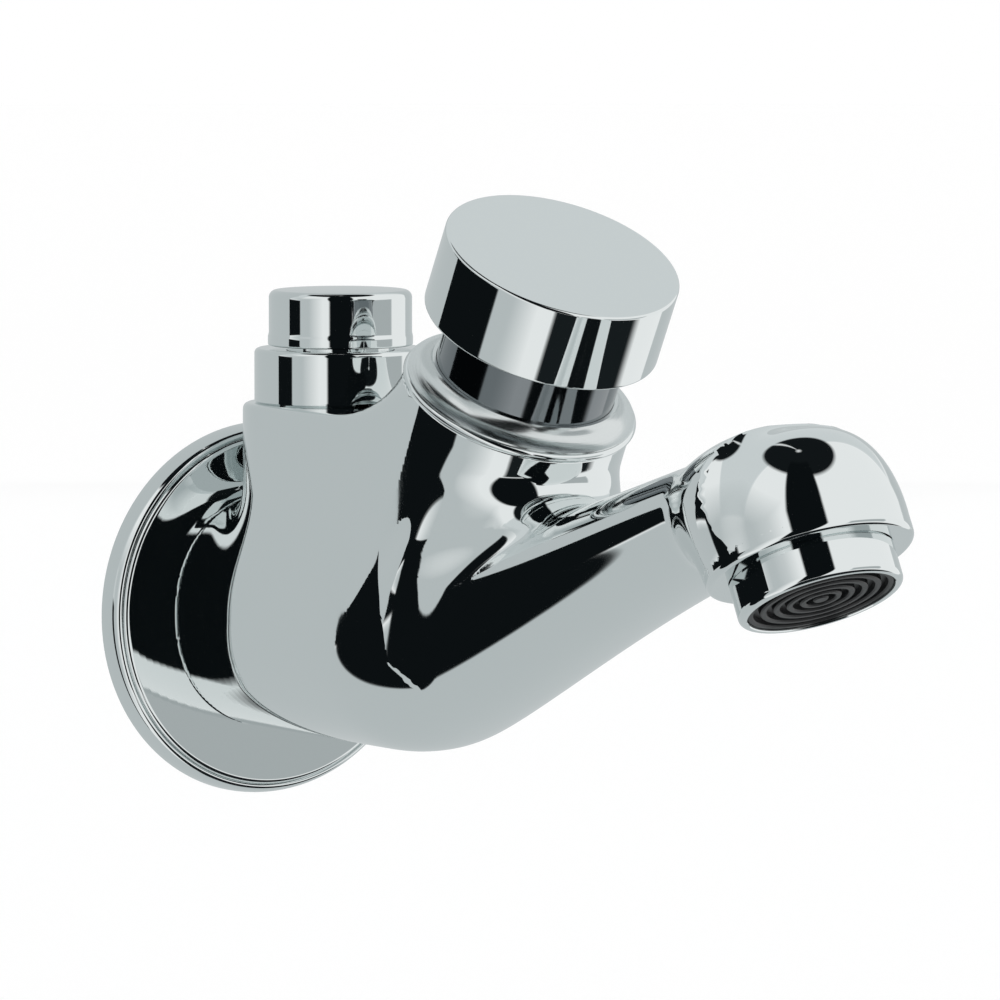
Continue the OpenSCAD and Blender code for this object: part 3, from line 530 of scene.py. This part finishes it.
def makeButton():
    b = button
    r = b["radius"] - b["edge"]
    inside = [(b["hollow"], b["base"]), (b["hollow"], b["roof"]), (b["boss"], b["roof"]), (b["boss"], b["base"]),
              (b["rod"], b["base"]), (b["rod"], b["roof"]), (0, b["roof"])]
    profile = [(0, b["top"]), *rounded((r, b["top"] - b["edge"]), b["edge"], 90, 0, 8),
               *rounded((r, b["base"] + b["edge"]), b["edge"], 0, -90, 8), *inside]
    addPiece("pushButton", spun(profile, cartridgeAxis, 180), "plunger", [chromePlate],
             ["push_button"])


sleeve = {"radius": 14.15, "bore": 12.55, "foot": -2.6, "top": 21.5, "bevel": 0.3}


def makeSleeve():
    b = sleeve
    profile = [(b["bore"], b["foot"]), (b["radius"] - b["bevel"], b["foot"]), (b["radius"], b["foot"] + b["bevel"]),
               (b["radius"], b["top"]), (b["bore"], b["top"])]
    # the sleeve's darker tint is painted shade from the button's overhang
    addPiece("buttonSleeve", spun(profile, cartridgeAxis), "plunger", [paintedShadeChrome],
             ["button_sleeve"])


collar = {"bore": 14.21, "crown": 14.75, "foot": 18.0, "footHeight": 0.3, "height": 2.8, "skirt": 15.85, "end": -11.0,
          "wiperBore": 15.11, "wiperTop": -0.3, "wiperFoot": -2.1}


def makeCollar():
    b = collar
    drop, climb = b["foot"] - b["crown"], b["height"] - b["footHeight"]
    cove = [(b["crown"] + drop * (1 - math.sin(a)), b["footHeight"] + climb * (1 - math.cos(a)))
            for a in (math.radians(6 * i) for i in range(1, 16))]
    groove = [(b["bore"], b["wiperTop"]), (b["wiperBore"], b["wiperTop"]), (b["wiperBore"], b["wiperFoot"]),
              (b["bore"], b["wiperFoot"])]
    profile = [(b["bore"], b["end"]), (b["skirt"], b["end"]), (b["skirt"], 0.02), (b["foot"], 0.02),
               (b["foot"], b["footHeight"]), *cove, (b["bore"], b["height"]), *groove]
    addPiece("cartridgeCollar", spun(profile, cartridgeAxis, 160), "tap", [turnedChrome],
             ["cartridge_collar"])


cap = {"base": 43.6, "top": 52.5, "side": 11.35, "foot": 11.5, "footHeight": 1.3, "flareRise": 0.9, "footEdge": 0.3,
       "edge": 1.2, "crown": 0.12, "hollow": 8.6, "hub": 46.8, "bore": 4.0, "roof": 50.3}


def makeCap():
    b = cap
    corner = b["side"] - b["edge"]
    step, flareFoot = b["foot"] - b["side"], b["base"] + b["footHeight"]
    dome = [(corner * f, b["top"] - b["crown"] * f ** 3) for f in np.linspace(0, 0.98, 10)]
    edge = rounded((corner, b["top"] - b["crown"] - b["edge"]), b["edge"], 88, 0, 14)
    flare = [(b["side"] + step * (0.5 + 0.5 * math.cos(a)), flareFoot + b["flareRise"] * (a / math.pi))
             for a in np.linspace(math.pi, 0, 9)]
    foot = rounded((b["foot"] - b["footEdge"], b["base"] + b["footEdge"]), b["footEdge"], 0, -90, 5)
    inside = [(b["hollow"], b["base"]), (b["hollow"], b["hub"]), (b["bore"], b["hub"]), (b["bore"], b["roof"]),
              (0, b["roof"])]
    profile = [*dome, *edge, *flare, *foot, *inside]
    addPiece("controlCap", spun(profile, controlAxis, 160), "control", [chromePlate],
             ["control_cap"])


bonnet = {"radius": 13.65, "edge": 0.8, "foot": 34.6, "footEdge": 0.25, "top": 43.2, "neck": 8.24, "wall": 1.0,
          "roof": 1.6, "lip": 8.45, "lipTop": 44.1}


def makeRing():
    b = bonnet
    inner, under = b["radius"] - b["wall"], b["top"] - b["roof"]
    edge = rounded((b["radius"] - b["edge"], b["top"] - b["edge"]), b["edge"], 90, 0, 12)
    profile = [(b["neck"], b["lipTop"]), (b["lip"], b["lipTop"]), (b["lip"], b["top"]), *edge,
               (b["radius"], b["foot"] + b["footEdge"]), (b["radius"] - b["footEdge"], b["foot"]), (inner, b["foot"]),
               (inner, under), (b["neck"], under)]
    addPiece("bonnetRing", spun(profile, controlAxis, 160), "tap", [chromePlate], ["bonnet_ring"])


aerator = {"radius": 12.5, "drop": 6.0, "seam": 0.2, "thread": 12.1, "threadTop": 7.5, "bore": 11.2, "ledge": -1.1,
           "screenBore": 10.33, "edge": 0.85, "lipEdge": 0.15, "flats": 11.9, "flatFoot": -5.1, "cutter": (4, 30)}


def makeAeratorRing():
    b = aerator
    profile = [(b["bore"], -b["drop"] + b["lipEdge"]), (b["bore"] + b["lipEdge"], -b["drop"]),
               *rounded((b["radius"] - b["edge"], -b["drop"] + b["edge"]), b["edge"], -90, 0, 8),
               (b["radius"], -b["seam"]), (b["thread"], -b["seam"]), (b["thread"], b["threadTop"]),
               (b["screenBore"], b["threadTop"]), (b["screenBore"], b["ledge"]), (b["bore"], b["ledge"])]
    blank = linkMesh("aeratorBlank", spun(profile, Matrix.Identity(4)))
    flats = bmesh.new()
    deep, along = b["cutter"]
    block = Matrix.Diagonal((deep * mm, along * mm, (-b["flatFoot"] - b["seam"]) * mm, 1))
    for side in (-1, 1):
        place = Matrix.Translation(Vector((side * (b["flats"] + deep / 2), 0, b["flatFoot"] / 2)) * mm)
        bmesh.ops.create_cube(flats, size=1, matrix=place @ block)
    bm = carved(blank, [linkMesh("wrenchFlats", flats)], "EXACT")
    bmesh.ops.transform(bm, matrix=outletAxis, verts=bm.verts[:])
    addPiece("aeratorRing", bm, "tap", [chromePlate], ["aerator_housing"])


insert = {"radius": 11.17, "foot": -5.6, "top": -1.1, "valley": -4.6, "rings": 5, "hub": 1.2,
          "edge": 0.2, "land": 0.75, "draft": 0.1}


def makeInsert():
    b = insert
    pitch = (b["radius"] - b["hub"]) / b["rings"]
    shoulder = b["foot"] + b["edge"]
    profile = [(0, b["top"]), (b["radius"], b["top"]), (b["radius"], shoulder)]
    for i in range(b["rings"], 0, -1):
        out = b["hub"] + pitch * i
        inner = out - b["land"] - b["edge"]
        crest = [(out - b["edge"], b["foot"]), (out - b["land"], b["foot"]), (inner, shoulder)]
        groove = [(inner - b["draft"], b["valley"]), (out - pitch + b["draft"], b["valley"]), (out - pitch, shoulder)]
        profile += crest + groove
    profile += [(b["hub"] - b["edge"], b["foot"]), (0, b["foot"])]
    addPiece("aeratorInsert", spun(profile, outletAxis, 96), "tap", [blackAcetal], ["aerator_insert"])


makeRimBead()
makeBossRim()
makeFlange()
makeButton()
makeSleeve()
makeCollar()
makeCap()
makeRing()
makeAeratorRing()
makeInsert()
print("turned pieces made")

tail = {"radius": 10.4775, "root": 9.4, "pitch": 1.814, "crest": (0.42, 0.58), "steps": 72, "start": -14.6, "lead": 0.9,
        "end": 0.0, "bore": 6.5, "shank": 11.38, "face": 4.6, "bevel": (0.3, 0.4), "neck": 0.6, "lap": 0.1}


def makeTail():  # half inch pipe thread behind the wall, wound with a spin that climbs
    b = tail
    turns = int((b["end"] - b["start"]) / b["pitch"]) - 1
    low = b["start"] + b["lead"]
    crest = [(b["radius"], low + share * b["pitch"]) for share in b["crest"]]
    tooth = [(b["root"], low), *crest, (b["root"], low + b["pitch"])]
    bm = bmesh.new()
    verts = [bm.verts.new((r * mm, 0, z * mm)) for r, z in tooth]
    edges = [bm.edges.new(pair) for pair in zip(verts, verts[1:])]
    bmesh.ops.spin(bm, geom=verts + edges, cent=(0, 0, 0), axis=(0, 0, 1), dvec=(0, 0, b["pitch"] / b["steps"] * mm),
                   angle=2 * math.pi * turns, steps=b["steps"] * turns)
    bmesh.ops.remove_doubles(bm, verts=bm.verts[:], dist=2e-6)
    bmesh.ops.recalc_face_normals(bm, faces=bm.faces[:])
    mouth, core, back = b["start"] - b["bevel"][1], b["root"] + b["lap"], b["face"] + b["lap"]
    profile = [(b["bore"], mouth), (b["root"] - b["bevel"][0], mouth), (core, b["start"]), (core, b["end"] - b["neck"]),
               (b["shank"], b["end"]), (b["shank"], back), (b["bore"], back)]
    shank = spun(profile, Matrix.Identity(4), 96)
    joined = bpy.data.meshes.new("tailCore")
    shank.to_mesh(joined)
    shank.free()
    bm.from_mesh(joined)
    bmesh.ops.transform(bm, matrix=wallAxis, verts=bm.verts[:])
    addPiece("inletTail", bm, "tap", [tailBrass])


makeTail()

spring = {"radius": 7.7, "wire": 0.75, "foot": -11.0, "top": 21.5, "turns": 8, "endPitch": 1.95, "travel": 8.2,
          "steps": 48}


def makeSpring():  # coil with a closed turn at each end, made at one length, though the real one shortens as the button goes down
    b = spring
    rise = b["top"] - b["foot"] - 2 * b["wire"]
    openTurns = b["turns"] - 2
    stages = ((1, b["endPitch"]), (openTurns, (rise - 2 * b["endPitch"]) / openTurns), (1, b["endPitch"]))
    bm = bmesh.new()
    start = Vector((b["radius"], 0, b["foot"] + b["wire"])) * mm
    place = Matrix.Translation(start) @ Matrix.Rotation(math.pi / 2, 4, "X")
    wire = bmesh.ops.create_circle(bm, cap_ends=False, radius=b["wire"] * mm, segments=12, matrix=place)["verts"]
    section = wire + list({e for v in wire for e in v.link_edges})
    for turns, pitch in stages:
        section = bmesh.ops.spin(bm, geom=section, cent=(0, 0, 0), axis=(0, 0, 1), dvec=(0, 0, pitch / b["steps"] * mm),
                                 angle=2 * math.pi * turns, steps=b["steps"] * turns)["geom_last"]
    bmesh.ops.holes_fill(bm, edges=[e for e in bm.edges if e.is_boundary], sides=0)
    bmesh.ops.recalc_face_normals(bm, faces=bm.faces[:])
    bmesh.ops.transform(bm, matrix=cartridgeAxis, verts=bm.verts[:])
    coil = addPiece("returnSpring", bm, "tap", [drawnSteel], ["return_spring"])
    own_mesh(coil)


makeSpring()

finishes = [  # inner pieces keep their solids and take their finish
    (cartridgeBrass, ["cartridge_barrel", "barrel_head", "piston", "valve_seat", "valve_disc", "valve_nut"]),
    (controlBrass, ["control_bonnet", "control_spindle", "control_jumper", "jumper_screw", "control_seat"]),
    (drawnSteel, ["plunger_rod", "spindle_clip"]),
    (wovenScreen, ["aerator_screen"]),
    (nitrileRubber, ["stem_wiper", "barrel_gasket", "barrel_orings", "rod_seal", "piston_seal", "valve_washer",
                     "bonnet_gasket", "spindle_oring", "jumper_washer", "aerator_washer"]),
    (whiteNylon, ["aerator_strainer"]),
]
for finish, names in finishes:
    for name in names:
        nodes[name].data.materials.clear()
        nodes[name].data.materials.append(finish)
print("inner pieces finished")

camera = {"place": (-720.372, -1146.507, 132.255), "azimuth": -33.7714, "elevation": 4.8570, "lens": 303.65}


def outwards(azimuth, elevation):  # azimuth from the front of the tap, in degrees
    a, e = math.radians(azimuth), math.radians(elevation)
    return Vector((math.sin(a) * math.cos(e), -math.cos(a) * math.cos(e), math.sin(e)))


def makeCamera():
    data = bpy.data.cameras.new("photoCamera")
    data.lens = camera["lens"]
    data.sensor_width = 36
    data.clip_start, data.clip_end = 0.05, 60
    holder = bpy.data.objects.new("photoCamera", data)
    back = outwards(camera["azimuth"], camera["elevation"])
    holder.rotation_euler = (-back).to_track_quat("-Z", "Y").to_euler()
    holder.location = Vector(camera["place"]) * mm
    bpy.context.scene.collection.objects.link(holder)
    bpy.context.scene.camera = holder


makeCamera()

stageSet = {
    "floorHeight": -0.22, "floorRadius": 8, "radius": 3.0, "hang": 0.02, "centre": (0, -0.08, 0.02), "cardSteps": 60,
    "cards": {  # lower left, lower right, upper left and upper right as (azimuth, elevation), edge fade, tone
        "lowerGrey": ((105, -90), (257, -90), (105, -12), (257, -12), 2, "#c8cdce"),
        "rightGrey": ((105, -12), (182, -12), (105, 16), (182, 16), 2, "#c8cdce"),
        "upperGrey": ((105, 16), (257, 16), (105, 66), (257, 66), 2, "#dfe3e4"),
        "softGrey": ((-125, -55), (-62, -55), (-125, 40), (-62, 40), 24, "#c9cecf"),
        "topDark": ((-180, 60), (180, 60), (-180, 90), (180, 90), 3, "#15191b"),
        "cameraDark": ((-48, -36), (-14, -36), (-64, 76), (-6, 76), 3, "#0e1214"),
        "frontLow": ((-45, -90), (105, -90), (-45, -36), (105, -36), 4, "#1b2022"),
        "flangeGrey": ((15, -25), (60, -25), (15, 8), (60, 8), 3, "#b8bdbe"),
        "leftDark": ((178, -12), (226, -12), (178, 16), (226, 16), 1.5, "#0f1315"),
        "leftFront": ((-135, -62), (-101, -62), (-146, 18), (-101, 0), 1.5, "#0f1315"),
    },
    "board": (-0.07, 0.4, -0.35, 0.12, 0.012, "#c8cdce"),  # panel behind the tap: left, right, low, high, y, tone
}


def addStage(name, bm, tone):  # glows in its own tone, and only reflections see it
    card = linkMesh(name, bm)
    material = bpy.data.materials.new(name)
    material.use_nodes = True
    tree = material.node_tree
    tree.nodes.clear()
    cover = addNode(tree, "ShaderNodeAttribute", {"attribute_name": "cover"})
    clear = addNode(tree, "ShaderNodeBsdfTransparent")
    glow = addNode(tree, "ShaderNodeEmission", {"Color": hexColour(tone), "Strength": 1.0})
    mix = addNode(tree, "ShaderNodeMixShader", Fac=cover.outputs["Fac"])
    tree.links.new(clear.outputs[0], mix.inputs[1])
    tree.links.new(glow.outputs[0], mix.inputs[2])
    addNode(tree, "ShaderNodeOutputMaterial", Surface=mix.outputs[0])
    card.data.materials.append(material)
    card.visible_camera = card.visible_diffuse = card.visible_shadow = False


def makeCard(name, radius, lowLeft, lowRight, highLeft, highRight, fade, tone):
    corners = [Vector(corner) for corner in (lowLeft, lowRight, highLeft, highRight)]
    bm = bmesh.new()
    steps = stageSet["cardSteps"]
    bmesh.ops.create_grid(bm, x_segments=steps, y_segments=steps, size=1)
    cover = bm.verts.layers.float.new("cover")
    for v in bm.verts:
        u, w = (v.co.x + 1) / 2, (v.co.y + 1) / 2
        low, high = corners[0].lerp(corners[1], u), corners[2].lerp(corners[3], u)
        across = corners[0].lerp(corners[2], w) - corners[1].lerp(corners[3], w)
        v[cover] = min(min(u, 1 - u) * across.length / fade, min(w, 1 - w) * (high - low).length / fade, 1)
        v.co = outwards(*low.lerp(high, w)) * radius + Vector(stageSet["centre"])
    addStage(name, bm, tone)


def makeBoard():
    left, right, low, high, y, tone = stageSet["board"]
    bm = bmesh.new()
    bmesh.ops.create_grid(bm, x_segments=1, y_segments=1, size=0.5)
    cover = bm.verts.layers.float.new("cover")
    for v in bm.verts:
        v[cover] = 1
        v.co = Vector(((left + right) / 2 + v.co.x * (right - left), y, (low + high) / 2 + v.co.y * (high - low)))
    addStage("mountingBoard", bm, tone)


def makeFloor():
    bm = bmesh.new()
    place = Matrix.Translation((*stageSet["centre"][:2], stageSet["floorHeight"]))
    bmesh.ops.create_circle(bm, cap_ends=True, radius=stageSet["floorRadius"], segments=64, matrix=place)
    floor = linkMesh("paleFloor", bm)
    material, _, shader, _ = newMaterial("palePaper", "#ffffff", 0.0)
    shader.inputs["Roughness"].default_value = 0.9
    floor.data.materials.append(material)
    floor.visible_glossy = False


def makeWorld():
    world = bpy.data.worlds.new("whiteStudio")
    bpy.context.scene.world = world
    world.use_nodes = True
    world.node_tree.nodes["Background"].inputs["Color"].default_value = (1, 1, 1, 1)


for i, (name, card) in enumerate(stageSet["cards"].items()):
    makeCard(name, stageSet["radius"] - stageSet["hang"] * i, *card)  # a later card hangs in front
makeBoard()
makeFloor()
makeWorld()
bpy.context.scene.view_settings.view_transform = "Standard"

print("stage set")
